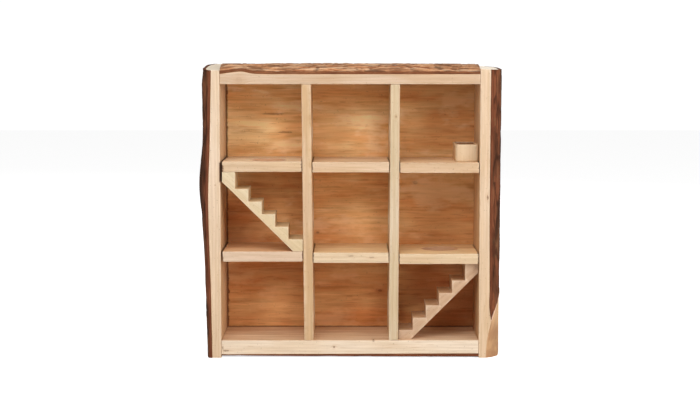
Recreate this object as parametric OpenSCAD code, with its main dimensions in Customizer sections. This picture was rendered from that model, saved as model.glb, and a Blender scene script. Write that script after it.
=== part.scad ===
// Three-storey hamster cage of nine rooms, framed by four slabs sawn from the
// outside of a log, so each slab is flat inside and keeps its bark outside.
// +Z is up, -Y is the open front, and the origin is on the floor under the middle.

/* [Frame] */
// Clear width between the two side slabs
inner_w = 352.4; // [320:0.2:380]
// Clear height between the bottom slab and the top slab
inner_h = 350; // [330:0.5:370]
// Depth of the slabs from the open front to the rear
depth = 120; // [110:1:140]
// Height of the lowest floor above the ground
floor_z = 24.6; // [24.6:0.1:30]

/* [Boards] */
// Thickness of each shelf
shelf_t = 14.2; // [12:0.2:16]
// Thickness of each divider
divider_t = 12.8; // [10:0.2:15]
// Thickness of the back panel
panel_t = 8; // [6:0.5:10]
// Depth of the rebate that holds the edge of the back panel
rebate = 6; // [4:0.5:8]
// Play round the back panel in its rebate
panel_play = 0.5; // [0.2:0.1:1]

/* [Rooms] */
// Underside of the upper left shelf above the ground
upper_shelf_z = 255.8; // [250:0.2:260]
// Underside of the lower left shelf above the ground
lower_shelf_z = 133; // [128:0.2:138]
// Drop of the upper shelves from one room to the next
upper_drop = 0.7; // [0:0.1:2]
// Drop of the lower shelves from one room to the next
lower_drop = 1.6; // [0:0.1:3]
// Gap at each end of a shelf
shelf_gap = 0.6; // [0.3:0.1:1]
// Gap between the left side slab and the shelves beside it
left_gap = 2.2; // [0.5:0.1:3]
// Left divider: middle of its foot from the middle of the cage
left_foot_x = -56.3; // [-64:0.1:-52]
// Left divider: middle of its top from the middle of the cage
left_top_x = -59.4; // [-64:0.1:-52]
// Right divider: middle of its foot from the middle of the cage
right_foot_x = 59.5; // [52:0.1:64]
// Right divider: middle of its top from the middle of the cage
right_top_x = 61.2; // [52:0.1:64]

/* [Passages] */
// Diameter of the holes that the hamster goes through
hole_d = 50; // [40:1:56]
// Middle of a doorway above the floor of its room
door_rise = 43; // [38:1:50]
// Middle of the hole in the upper left shelf, behind the front
upper_hole_back = 36; // [32:1:60]
// Middle of the hole in the upper left shelf, right of the shelf's middle
upper_hole_right = 7; // [0:1:14]
// Middle of the hole in the lower right shelf, behind the front
lower_hole_back = 60; // [40:1:70]
// Middle of the hole in the lower right shelf, right of the shelf's middle
lower_hole_right = 4; // [0:1:14]

/* [Stairs] */
// Treads on each stair
treads = 5; // [4:1:6]
// Depth of the lowest tread of each stair
first_run = 19.6; // [18:0.2:22]
// Height of the lowest step of the upper stair
upper_first_rise = 16.8; // [12:0.2:18]
// Height of the lowest step of the lower stair
lower_first_rise = 12.6; // [12:0.2:18]
// Height of each further step
step_rise = 17.2; // [15:0.1:18]
// Width of the stairs, from front to rear
stair_w = 60; // [45:1:70]
// Height of the sawn end at a stair's head
stair_head = 13.5; // [12:0.5:18]
// Length of the upper stair's foot
upper_stair_foot = 13.5; // [12:0.5:18]
// Length of the lower stair's foot
lower_stair_foot = 17.7; // [12:0.1:18]
// How far the lower stair stands behind the front
lower_stair_back = 10; // [0:1:20]

/* [Food bowl] */
// Width of the bowl
bowl_w = 32; // [28:0.5:45]
// Depth of the bowl, from front to rear
bowl_d = 66; // [40:1:75]
// Height of the bowl
bowl_h = 23.8; // [18:0.2:30]
// Wall and floor of the bowl
bowl_wall = 4; // [3:0.5:6]
// Corner radius of the bowl
bowl_r = 5; // [4:0.5:10]
// Distance of the bowl behind the front
bowl_back = 15; // [2:1:20]

/* [Bark] */
// Thickness of the bark on the sides and the top
bark_t = 4.2; // [3:0.2:6]
// Thickness of the bark under the cage at its left end
bottom_bark_left = 1.6; // [1.2:0.1:3]
// Thickness of the bark under the cage at its right end
bottom_bark_right = 4.4; // [2:0.1:4.6]

/* [Hidden] */

half_w = inner_w / 2;
half_d = depth / 2;
front_y = -half_d;
panel_y = half_d - panel_t;         // front face of the back panel
room_mid_y = (front_y + panel_y) / 2;
ceiling_z = floor_z + inner_h;
round_fn = 96;

// Each slab is measured in its own frame: s runs along it, v runs from -1 at the
// front to 1 at the rear, and t is the height above its flat inner face.
// A profile lists [s, t] points, and a smooth curve runs through them.
left_edge = [[0, 12.9], [100, 14.2], [170, 16.2], [225, 16.7], [297, 14.1], [400, 11.6]];
left_crown = [[0, 21.6], [95, 24.2], [140, 25], [190, 28.2], [240, 31.8], [297, 26.8],
    [385, 27.2], [400, 24]];
right_edge = [[0, 6.4], [12, 6.6], [22, 7.6], [32, 9.4], [38, 11.2], [48, 13.4],
    [60, 14.2], [95, 14.6], [190, 13.8], [400, 14.4]];
right_crown = [[0, 31.2], [90, 31], [250, 31.5], [400, 31.8]];
top_edge = [[-176, 13.8], [-164, 15.6], [-150, 17.8], [-138, 15.2], [-120, 13.9],
    [176, 13.6]];
top_crown = [[-176, 27.4], [-60, 28], [80, 27.8], [176, 26.8]];
bottom_edge = [[-176, 19.8], [0, 19.3], [176, 18.7]];
bottom_crown = [[-176, 23.6], [0, 23.8], [176, 23.9]];
bottom_bark = [[-half_w, bottom_bark_left], [half_w, bottom_bark_right]];

// One slab: its profiles, bark thickness or a profile of it, the two ends along s, the
// rise of its far end from front to rear, the drop of that end per millimetre of t, the
// number of bare rows at its start, where the bark starts at the front and at the crown,
// and how blunt its arch is (2 is a round log).
left_spec = [left_edge, left_crown, bark_t, [0, 393.3], 7.3, 0, 0, [0, 0], 5];
right_spec = [right_edge, right_crown, bark_t, [0, 395.4], 2.7, 0.06, 6, [51, 88], 6];
top_spec = [top_edge, top_crown, bark_t, [-half_w, half_w], 0, 0, 0, [0, 0], 3];
bottom_spec = [bottom_edge, bottom_crown, bottom_bark, [-half_w, half_w], 0, 0, 0,
    [0, 0], 2];

slab_rows = 24;   // steps along a slab
slab_cols = 8;    // steps across a slab
thin_bark = 0.8;  // bark left at the rim of a bare patch
rim_run = 14;     // length over which the bark grows to its full thickness

// Slope of a profile at its point i
function slope_at(p, i) =
    let(a = max(0, i - 1), b = min(len(p) - 1, i + 1))
    (p[b][1] - p[a][1]) / (p[b][0] - p[a][0]);

// Height of the smooth curve through a profile at s
function curve(p, s, i = 0) =
    s <= p[0][0] ? p[0][1] :
    i >= len(p) - 1 ? p[len(p) - 1][1] :
    s > p[i + 1][0] ? curve(p, s, i + 1) :
    let(h = p[i + 1][0] - p[i][0], u = (s - p[i][0]) / h)
    (1 + 2 * u) * pow(1 - u, 2) * p[i][1]
    + u * pow(1 - u, 2) * h * slope_at(p, i)
    + u * u * (3 - 2 * u) * p[i + 1][1]
    + u * u * (u - 1) * h * slope_at(p, i + 1);

// Height of the arch across a slab, from 0 at its long edges to 1 at its crown
function arch(spec, v) = 1 - pow(abs(v), spec[8]);

function full_bark(spec, s) = is_list(spec[2]) ? curve(spec[2], s) : spec[2];

function bark_start(spec, v) = spec[7][0] + (spec[7][1] - spec[7][0]) * arch(spec, v);

// Outer face of the bark
function bark_top(spec, s, v) =
    let(edge = curve(spec[0], s) + full_bark(spec, s))
    edge + (curve(spec[1], s) - edge) * arch(spec, v);

// Bark thickness, which is thin beside a bare patch
function bark_here(spec, s, v) =
    spec[6] == 0 ? full_bark(spec, s) :
    let(u = min(1, max(0, (s - bark_start(spec, v)) / rim_run)))
    thin_bark + (full_bark(spec, s) - thin_bark) * u;

function wood_top(spec, s, v) = bark_top(spec, s, v) - bark_here(spec, s, v);

// Place of row i along the slab: the bare rows end where the bark starts
function row_s(spec, i, v) =
    let(from = spec[3][0], to = spec[3][1], bare = spec[6], edge = bark_start(spec, v))
    bare == 0 ? from + (to - from) * i / slab_rows :
    i <= bare ? from + (edge - from) * i / bare :
    edge + (to - edge) * (i - bare) / (slab_rows - bare);

// A point of a slab at height share k: 0 inner face, 1 top of the wood, 2 bark
function slab_point(spec, i, j, k) =
    let(v = sin(90 * (2 * j / slab_cols - 1)),
        s = row_s(spec, i, v),
        t = k == 0 ? 0 : k == 1 ? wood_top(spec, s, v) : bark_top(spec, s, v),
        end_share = i / slab_rows,
        end_shift = spec[4] * (1 + v) / 2 - spec[5] * t)
    [s + pow(end_share, 6) * end_shift, v * half_d, t];

function slab_grid(spec, k, first) =
    [for (i = [first:slab_rows]) [for (j = [0:slab_cols]) slab_point(spec, i, j, k)]];

// A closed solid between two grids of points with the same rows and columns
module solid_between(high, low) {
    rows = len(high);
    cols = len(high[0]);
    function id(side, i, j) = (side * rows + i) * cols + j;
    function strip(a, b, c, d) = [[a, c, d], [a, d, b]];
    top_faces = [for (i = [0:rows - 2], j = [0:cols - 2])
        each strip(id(0, i, j), id(0, i + 1, j), id(0, i, j + 1), id(0, i + 1, j + 1))];
    low_faces = [for (i = [0:rows - 2], j = [0:cols - 2])
        each [[id(1, i, j), id(1, i + 1, j + 1), id(1, i, j + 1)],
            [id(1, i, j), id(1, i + 1, j), id(1, i + 1, j + 1)]]];
    long_faces = [for (i = [0:rows - 2])
        each concat(
            strip(id(1, i, 0), id(1, i + 1, 0), id(0, i, 0), id(0, i + 1, 0)),
            strip(id(0, i, cols - 1), id(0, i + 1, cols - 1),
                id(1, i, cols - 1), id(1, i + 1, cols - 1)))];
    end_faces = [for (j = [0:cols - 2])
        each concat(
            strip(id(0, 0, j), id(0, 0, j + 1), id(1, 0, j), id(1, 0, j + 1)),
            strip(id(1, rows - 1, j), id(1, rows - 1, j + 1),
                id(0, rows - 1, j), id(0, rows - 1, j + 1)))];
    polyhedron([for (grid = [high, low], row = grid, point = row) point],
        concat(top_faces, low_faces, long_faces, end_faces));
}

module slab_wood(spec) {
    solid_between(slab_grid(spec, 1, 0), slab_grid(spec, 0, 0));
}

module slab_bark(spec) {
    solid_between(slab_grid(spec, 2, spec[6]), slab_grid(spec, 1, spec[6]));
}

// Places for the four slabs, from a slab's own frame
module at_left() {
    translate([-half_w, 0, 0]) rotate([0, -90, 0]) children();
}

module at_right() {
    mirror([1, 0, 0]) at_left() children();
}

module at_top() {
    translate([0, 0, ceiling_z]) children();
}

module at_bottom() {
    translate([0, 0, floor_z]) mirror([0, 0, 1]) children();
}

// The space that the back panel's edge takes out of the slabs
module panel_rebate() {
    spare = 1;
    translate([-half_w - rebate, panel_y, floor_z - rebate])
        cube([inner_w + 2 * rebate, panel_t + spare, inner_h + 2 * rebate]);
}

module left_side_slab() {
    color("blanchedalmond") difference() {
        at_left() slab_wood(left_spec);
        panel_rebate();
    }
}

module right_side_slab() {
    color("blanchedalmond") difference() {
        at_right() slab_wood(right_spec);
        panel_rebate();
    }
}

module top_slab() {
    color("bisque") difference() {
        at_top() slab_wood(top_spec);
        panel_rebate();
    }
}

module bottom_slab() {
    color("bisque") difference() {
        at_bottom() slab_wood(bottom_spec);
        panel_rebate();
    }
}

module left_side_bark() {
    color("saddlebrown") at_left() slab_bark(left_spec);
}

module right_side_bark() {
    color("saddlebrown") at_right() slab_bark(right_spec);
}

module top_bark() {
    color("sienna") at_top() slab_bark(top_spec);
}

module bottom_bark() {
    color("sienna") at_bottom() slab_bark(bottom_spec);
}

module back_panel() {
    w = inner_w + 2 * (rebate - panel_play);
    h = inner_h + 2 * (rebate - panel_play);
    color("peru") translate([-w / 2, panel_y, floor_z - rebate + panel_play])
        cube([w, panel_t, h]);
}

// Middle of a divider at height z: side is 0 for the left one and 1 for the right one
function divider_x(side, z) =
    let(foot = side == 0 ? left_foot_x : right_foot_x,
        top = side == 0 ? left_top_x : right_top_x)
    foot + (top - foot) * (z - floor_z) / inner_h;

// Underside of a shelf: level is 1 or 2, room is 0 to 2 from the left
function shelf_z(level, room) =
    level == 1 ? lower_shelf_z - room * lower_drop : upper_shelf_z - room * upper_drop;

// Floor of a room: level is 0 to 2
function room_floor(level, room) =
    level == 0 ? floor_z : shelf_z(level, room) + shelf_t;

// Left and right ends of a shelf
function shelf_left(level, room) =
    room == 0 ? -half_w + left_gap :
    divider_x(room - 1, shelf_z(level, room)) + divider_t / 2 + shelf_gap;

function shelf_right(level, room) =
    room == 2 ? half_w - shelf_gap :
    divider_x(room, shelf_z(level, room)) - divider_t / 2 - shelf_gap;

module divider(side) {
    foot = divider_x(side, floor_z);
    top = divider_x(side, ceiling_z);
    half_t = divider_t / 2;
    difference() {
        translate([0, panel_y, 0]) rotate([90, 0, 0])
            linear_extrude(panel_y - front_y)
                polygon([[foot - half_t, floor_z], [foot + half_t, floor_z],
                    [top + half_t, ceiling_z], [top - half_t, ceiling_z]]);
        for (level = [0:2]) {
            z = room_floor(level, side + 0.5) + door_rise;
            translate([divider_x(side, z) - divider_t, room_mid_y, z]) rotate([0, 90, 0])
                cylinder(h = 2 * divider_t, d = hole_d, $fn = round_fn);
        }
    }
}

module left_divider() {
    color("wheat") divider(0);
}

module right_divider() {
    color("wheat") divider(1);
}

module shelf(level, room) {
    left = shelf_left(level, room);
    translate([left, front_y, shelf_z(level, room)])
        cube([shelf_right(level, room) - left, panel_y - front_y, shelf_t]);
}

// A shelf with the hole that a stair leads up to
module shelf_with_hole(level, room, back, right) {
    middle = (shelf_left(level, room) + shelf_right(level, room)) / 2;
    difference() {
        shelf(level, room);
        translate([middle + right, front_y + back, shelf_z(level, room) - 1])
            cylinder(h = shelf_t + 2, d = hole_d, $fn = round_fn);
    }
}

module upper_left_shelf() {
    color("navajowhite") shelf_with_hole(2, 0, upper_hole_back, upper_hole_right);
}

module upper_middle_shelf() {
    color("navajowhite") shelf(2, 1);
}

module upper_right_shelf() {
    color("navajowhite") shelf(2, 2);
}

module lower_left_shelf() {
    color("navajowhite") shelf(1, 0);
}

module lower_middle_shelf() {
    color("navajowhite") shelf(1, 1);
}

module lower_right_shelf() {
    color("navajowhite") shelf_with_hole(1, 2, lower_hole_back, lower_hole_right);
}

// Outline of a stair that climbs along +X from a foot at the origin
function stair_outline(w, h, first_rise, foot) =
    let(run = (w - first_run) / treads)
    concat(
        [for (i = [0:treads - 1]) each [
            [i == 0 ? 0 : first_run + (i - 1) * run, first_rise + i * step_rise],
            [first_run + i * run, first_rise + i * step_rise]]],
        [[w - run, h], [w, h], [w, h - stair_head], [foot, 0], [0, 0]]);

module stair(w, h, first_rise, foot) {
    rotate([90, 0, 0]) mirror([0, 0, 1]) linear_extrude(stair_w)
        polygon(stair_outline(w, h, first_rise, foot));
}

upper_stair_x = shelf_right(1, 0);
upper_stair_z = room_floor(1, 0);
upper_stair_l = upper_stair_x - shelf_left(2, 0);
lower_stair_x = divider_x(1, floor_z) + divider_t / 2 + shelf_gap;
lower_stair_l = half_w - shelf_gap - lower_stair_x;

module upper_stair() {
    color("moccasin") translate([upper_stair_x, front_y, upper_stair_z])
        mirror([1, 0, 0])
            stair(upper_stair_l, shelf_z(2, 0) - upper_stair_z, upper_first_rise, upper_stair_foot);
}

module lower_stair() {
    color("moccasin") translate([lower_stair_x, front_y + lower_stair_back, floor_z])
        stair(lower_stair_l, shelf_z(1, 2) - floor_z, lower_first_rise, lower_stair_foot);
}

module round_block(w, d, r, h) {
    linear_extrude(h) union() {
        translate([r, 0]) square([w - 2 * r, d]);
        translate([0, r]) square([w, d - 2 * r]);
        for (x = [r, w - r], y = [r, d - r])
            translate([x, y]) circle(r, $fn = round_fn);
    }
}

module food_bowl() {
    hollow_r = bowl_r - bowl_wall / 2;
    color("burlywood")
        translate([half_w - shelf_gap - bowl_w, front_y + bowl_back, room_floor(2, 2)])
            difference() {
                round_block(bowl_w, bowl_d, bowl_r, bowl_h);
                translate([bowl_wall, bowl_wall, bowl_wall])
                    round_block(bowl_w - 2 * bowl_wall, bowl_d - 2 * bowl_wall,
                        hollow_r, bowl_h);
            }
}

// A driven nail: its head's top is at the origin and it points down
module nail(length, d = 1.8, head_d = 3.8) {
    head_t = 1;
    point = 2 * d;
    translate([0, 0, -head_t]) cylinder(h = head_t, d = head_d, $fn = 24);
    translate([0, 0, point - length]) cylinder(h = length - point, d = d, $fn = 24);
    translate([0, 0, -length]) cylinder(h = point, d1 = d / 6, d2 = d, $fn = 24);
}

nail_ys = [-0.55 * half_d, 0.4 * half_d];  // nails share a joint in pairs
nail_proud = 0.2;                          // heads stand this far out of the bark
side_nail = 48;
board_nail = 32;

module slab_nails(spec, places) {
    for (s = places, y = nail_ys)
        translate([s, y, bark_top(spec, s, y / half_d) + nail_proud]) nail(side_nail);
}

module left_side_nails() {
    color("silver") at_left() slab_nails(left_spec,
        [floor_z - 10, shelf_z(1, 0) + shelf_t / 2, shelf_z(2, 0) + shelf_t / 2,
            ceiling_z + 7]);
}

module right_side_nails() {
    color("silver") at_right() slab_nails(right_spec,
        [floor_z - 10, shelf_z(1, 2) + shelf_t / 2, shelf_z(2, 2) + shelf_t / 2,
            ceiling_z + 7]);
}

module top_nails() {
    color("silver") at_top() slab_nails(top_spec,
        [divider_x(0, ceiling_z), divider_x(1, ceiling_z)]);
}

module bottom_nails() {
    color("silver") at_bottom() slab_nails(bottom_spec,
        [divider_x(0, floor_z), divider_x(1, floor_z)]);
}

// Nails through a divider into the ends of the middle shelves
module divider_nails(side) {
    for (level = [1:2], y = nail_ys) {
        z = shelf_z(level, 1) + shelf_t / 2;
        outward = side == 0 ? -1 : 1;
        translate([divider_x(side, z) + outward * divider_t / 2, y, z])
            rotate([0, outward * 90, 0]) nail(board_nail);
    }
}

module left_divider_nails() {
    color("silver") divider_nails(0);
}

module right_divider_nails() {
    color("silver") divider_nails(1);
}

// Nails down into a stair's head and up into its foot
module stair_nails(head_x, head_z, foot_x, foot_z, back, foot_nail) {
    for (y = [0.25 * stair_w, 0.75 * stair_w]) {
        translate([head_x, front_y + back + y, head_z]) nail(board_nail - 2);
        translate([foot_x, front_y + back + y, foot_z])
            rotate([180, 0, 0]) nail(foot_nail);
    }
}

stair_nail_in = 9;      // from a stair's end to its nails
foot_nail = 24;         // through a shelf into a stair's foot

module upper_stair_nails() {
    color("silver") stair_nails(shelf_left(2, 0) + stair_nail_in, room_floor(2, 0),
        upper_stair_x - stair_nail_in, shelf_z(1, 0), 0, foot_nail);
}

module lower_stair_nails() {
    foot_x = lower_stair_x + stair_nail_in;
    under = floor_z - curve(bottom_crown, foot_x) + curve(bottom_bark, foot_x) / 2;
    color("silver") stair_nails(half_w - shelf_gap - stair_nail_in, room_floor(1, 2),
        foot_x, under, lower_stair_back, foot_nail + 8);
}

// A pin driven forward through the back panel
module panel_pin(x, z) {
    translate([x, half_d, z]) rotate([-90, 0, 0]) nail(20, 1.4, 2.8);
}

module back_panel_pins() {
    in_rebate = rebate / 2;
    across = [for (k = [0:5]) half_w * (2 * k - 5) / 5.6];
    upright = [for (k = [0:4]) floor_z + inner_h * (k + 0.5) / 5];
    near_floor = 8;
    near_ceiling = 95;
    color("silver") {
        for (x = across, z = [floor_z - in_rebate, ceiling_z + in_rebate]) panel_pin(x, z);
        for (z = upright, x = [-half_w - in_rebate, half_w + in_rebate]) panel_pin(x, z);
        for (side = [0:1], level = [0:2], up = [near_floor, near_ceiling]) {
            z = room_floor(level, side + 0.5) + up;
            panel_pin(divider_x(side, z), z);
        }
        for (level = [1:2], room = [0:2], share = [0.2, 0.8]) {
            x = shelf_left(level, room) * (1 - share) + shelf_right(level, room) * share;
            panel_pin(x, shelf_z(level, room) + shelf_t / 2);
        }
    }
}

left_side_slab();
left_side_bark();
right_side_slab();
right_side_bark();
top_slab();
top_bark();
bottom_slab();
bottom_bark();
back_panel();
left_divider();
right_divider();
upper_left_shelf();
upper_middle_shelf();
upper_right_shelf();
lower_left_shelf();
lower_middle_shelf();
lower_right_shelf();
upper_stair();
lower_stair();
food_bowl();
left_side_nails();
right_side_nails();
top_nails();
bottom_nails();
left_divider_nails();
right_divider_nails();
upper_stair_nails();
lower_stair_nails();
back_panel_pins();
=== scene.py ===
import math

import bmesh
import bpy
import numpy as np
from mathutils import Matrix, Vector, noise
from mathutils.bvhtree import BVHTree


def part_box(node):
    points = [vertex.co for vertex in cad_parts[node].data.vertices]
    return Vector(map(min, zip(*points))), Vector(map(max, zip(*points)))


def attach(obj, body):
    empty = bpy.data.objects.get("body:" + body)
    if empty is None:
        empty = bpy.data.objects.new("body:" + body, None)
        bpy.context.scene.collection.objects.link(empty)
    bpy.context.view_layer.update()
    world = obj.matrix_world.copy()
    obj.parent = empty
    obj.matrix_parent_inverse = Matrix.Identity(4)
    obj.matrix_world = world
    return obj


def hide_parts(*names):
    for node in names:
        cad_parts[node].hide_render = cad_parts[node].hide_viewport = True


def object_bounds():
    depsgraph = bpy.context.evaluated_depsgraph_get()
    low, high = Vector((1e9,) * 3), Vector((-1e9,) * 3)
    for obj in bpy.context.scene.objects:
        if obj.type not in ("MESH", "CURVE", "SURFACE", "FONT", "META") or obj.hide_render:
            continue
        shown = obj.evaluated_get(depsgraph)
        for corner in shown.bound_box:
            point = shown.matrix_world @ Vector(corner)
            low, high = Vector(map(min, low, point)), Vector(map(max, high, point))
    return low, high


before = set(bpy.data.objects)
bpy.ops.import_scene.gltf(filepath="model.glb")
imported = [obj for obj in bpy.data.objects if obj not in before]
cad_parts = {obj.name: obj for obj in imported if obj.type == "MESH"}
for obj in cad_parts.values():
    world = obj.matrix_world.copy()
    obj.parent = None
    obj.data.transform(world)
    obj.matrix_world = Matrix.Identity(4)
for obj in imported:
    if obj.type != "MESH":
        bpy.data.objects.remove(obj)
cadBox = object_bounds()
mm = 0.001


# small helpers for node trees

def addNode(tree, kind, values=None, **settings):
    node = tree.nodes.new(kind)
    for name, value in settings.items():
        setattr(node, name, value)
    for key, value in (values or {}).items():
        if isinstance(value, bpy.types.NodeSocket):
            tree.links.new(value, node.inputs[key])
        else:
            node.inputs[key].default_value = value
    return node


def calc(tree, operation, *terms):
    return addNode(tree, "ShaderNodeMath", dict(enumerate(terms)), operation=operation).outputs[0]


def times(tree, first, second):
    return calc(tree, "MULTIPLY", first, second)


def plus(tree, first, second):
    return calc(tree, "ADD", first, second)


def less(tree, first, second):
    return calc(tree, "SUBTRACT", first, second)


def vectorCalc(tree, operation, *terms):
    node = addNode(tree, "ShaderNodeVectorMath", dict(enumerate(terms)), operation=operation)
    return node.outputs["Value" if operation in ("LENGTH", "DISTANCE", "DOT_PRODUCT") else "Vector"]


def scaled(tree, vector, factors):
    return vectorCalc(tree, "MULTIPLY", vector, factors)


def lengthened(tree, vector, factor):
    return addNode(tree, "ShaderNodeVectorMath", {0: vector, "Scale": factor}, operation="SCALE").outputs[0]


def split(tree, vector):
    return addNode(tree, "ShaderNodeSeparateXYZ", {0: vector}).outputs


def joined(tree, *parts):
    return addNode(tree, "ShaderNodeCombineXYZ", dict(enumerate(parts))).outputs[0]


def objectPlace(tree):
    return addNode(tree, "ShaderNodeTexCoord").outputs["Object"]


def ramp(tree, value, low, high, outLow=0.0, outHigh=1.0):
    return addNode(tree, "ShaderNodeMapRange", {
        "Value": value, "From Min": low, "From Max": high, "To Min": outLow, "To Max": outHigh,
    }, interpolation_type="SMOOTHSTEP").outputs[0]


def noiseOf(tree, vector, scale, detail=2.0, roughness=0.5, output="Fac"):
    return addNode(tree, "ShaderNodeTexNoise", {
        "Vector": vector, "Scale": scale, "Detail": detail, "Roughness": roughness,
    }).outputs[output]


def mixed(tree, share, first, second, blend="MIX"):
    node = addNode(tree, "ShaderNodeMix", data_type="RGBA", blend_type=blend)
    for socket, value in zip((node.inputs[0], node.inputs[6], node.inputs[7]), (share, first, second)):
        if isinstance(value, bpy.types.NodeSocket):
            tree.links.new(value, socket)
        else:
            socket.default_value = (*value, 1.0) if isinstance(value, tuple) else value
    return node.outputs[2]


def attribute(tree, name, output="Fac"):
    return addNode(tree, "ShaderNodeAttribute", attribute_name=name).outputs[output]


def newTree(name, kind, inputs, outputs):
    tree = bpy.data.node_groups.new(name, kind)
    for label, socketType, value in inputs:
        socket = tree.interface.new_socket(label, in_out="INPUT", socket_type=socketType)
        if value is not None:
            socket.default_value = value
    for label, socketType in outputs:
        tree.interface.new_socket(label, in_out="OUTPUT", socket_type=socketType)
    return tree, tree.nodes.new("NodeGroupInput").outputs, tree.nodes.new("NodeGroupOutput").inputs


def newMaterial(name, roughness, specular=0.3):
    material = bpy.data.materials.new(name)
    material.use_nodes = True
    tree = material.node_tree
    shader = tree.nodes["Principled BSDF"]
    shader.inputs["Roughness"].default_value = roughness
    shader.inputs["Specular IOR Level"].default_value = specular
    return material, tree, shader


def bumpOf(tree, height, distance, strength=0.6):
    return addNode(tree, "ShaderNodeBump", {
        "Height": height, "Distance": distance, "Strength": strength}).outputs[0]


# shader effects that several materials share

def makeGrainGroup():
    tree, given, out = newTree("pineGrain", "ShaderNodeTree", [
        ("Vector", "NodeSocketVector", None),      # along the grain is Z, the pith is at X = Y = 0
        ("Ring Gap", "NodeSocketFloat", 3.4 * mm),
        ("Wobble", "NodeSocketFloat", 5 * mm),
        ("Push", "NodeSocketFloat", 0.0),          # how far knots push the rings aside
        ("Seed", "NodeSocketFloat", 0.0),
    ], [("Late", "NodeSocketFloat"), ("Streak", "NodeSocketFloat"),
        ("Tone", "NodeSocketFloat"), ("Dash", "NodeSocketFloat")])
    seed = given["Seed"]
    shift = joined(tree, seed, times(tree, seed, 1.7), times(tree, seed, 2.3))
    place = vectorCalc(tree, "ADD", given["Vector"], shift)
    along = scaled(tree, place, (1.0, 1.0, 0.16))
    sway = vectorCalc(tree, "SUBTRACT", noiseOf(tree, along, 17.0, 2.0, 0.5, "Color"), (0.5, 0.5, 0.5))
    bent = vectorCalc(tree, "ADD", given["Vector"], lengthened(tree, sway, given["Wobble"]))
    radius = vectorCalc(tree, "LENGTH", scaled(tree, bent, (1.0, 1.0, 0.0)))
    radius = plus(tree, radius, given["Push"])
    rings = calc(tree, "DIVIDE", radius, given["Ring Gap"])
    rings = plus(tree, rings, noiseOf(tree, along, 60.0, 1.0))
    share = calc(tree, "FRACT", rings)
    late = times(tree, ramp(tree, share, 0.2, 0.9), ramp(tree, share, 0.9, 1.0, 1.0, 0.0))
    chance = addNode(tree, "ShaderNodeTexWhiteNoise", {
        "W": plus(tree, calc(tree, "FLOOR", rings), seed)}, noise_dimensions="1D").outputs[0]
    late = times(tree, late, calc(tree, "MULTIPLY_ADD", chance, 0.7, 0.3))
    long = scaled(tree, place, (1.0, 1.0, 0.045))
    streak = noiseOf(tree, long, 330.0, 4.0, 0.62)
    dashes = noiseOf(tree, scaled(tree, place, (1.0, 1.0, 0.09)), 520.0, 0.0)
    tree.links.new(late, out["Late"])
    tree.links.new(ramp(tree, streak, 0.25, 0.75), out["Streak"])
    tree.links.new(ramp(tree, noiseOf(tree, along, 50.0, 3.0), 0.38, 0.62), out["Tone"])
    tree.links.new(ramp(tree, dashes, 0.72, 0.8), out["Dash"])
    return tree


def makeKnotGroup():
    tree, given, out = newTree("knot", "ShaderNodeTree", [
        ("Vector", "NodeSocketVector", None), ("Centre", "NodeSocketVector", (0, 0, 0)),
        ("Size", "NodeSocketVector", (5 * mm, 5 * mm, 5 * mm)), ("Push", "NodeSocketFloat", 6 * mm),
    ], [("Core", "NodeSocketFloat"), ("Halo", "NodeSocketFloat"), ("Push", "NodeSocketFloat")])
    away = vectorCalc(tree, "SUBTRACT", given["Vector"], given["Centre"])
    ragged = noiseOf(tree, given["Vector"], 260.0, 2.0, 0.6, "Color")
    ragged = vectorCalc(tree, "SUBTRACT", ragged, (0.5, 0.5, 0.5))
    away = vectorCalc(tree, "ADD", away, lengthened(tree, ragged, 2 * mm))
    far = vectorCalc(tree, "LENGTH", vectorCalc(tree, "DIVIDE", away, given["Size"]))
    rings = calc(tree, "MULTIPLY_ADD", calc(tree, "SINE", times(tree, far, 17.0)), 0.25, 0.75)
    tree.links.new(times(tree, ramp(tree, far, 0.75, 1.1, 1.0, 0.0), rings), out["Core"])
    tree.links.new(ramp(tree, far, 0.9, 3.0, 1.0, 0.0), out["Halo"])
    tree.links.new(times(tree, ramp(tree, far, 0.3, 4.5, 1.0, 0.0), given["Push"]), out["Push"])
    return tree


def makeWearGroup():
    tree, given, out = newTree("edgeWear", "ShaderNodeTree", [
        ("Edge", "NodeSocketFloat", 0.0), ("Vector", "NodeSocketVector", None),
    ], [("Rubbed", "NodeSocketFloat"), ("Grime", "NodeSocketFloat")])
    near = calc(tree, "POWER", given["Edge"], 3.0)
    blotch = noiseOf(tree, given["Vector"], 90.0, 3.0, 0.6)
    tree.links.new(times(tree, near, ramp(tree, blotch, 0.35, 0.6)), out["Rubbed"])
    tree.links.new(times(tree, near, ramp(tree, blotch, 0.52, 0.4, 0.0, 1.0)), out["Grime"])
    return tree


grainGroup = makeGrainGroup()
knotGroup = makeKnotGroup()
wearGroup = makeWearGroup()


grainTurns = {           # turns that bring each grain direction onto Z
    "x": (0.0, -math.pi / 2, 0.0),
    "z": (0.0, 0.0, 0.0),
}


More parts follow.
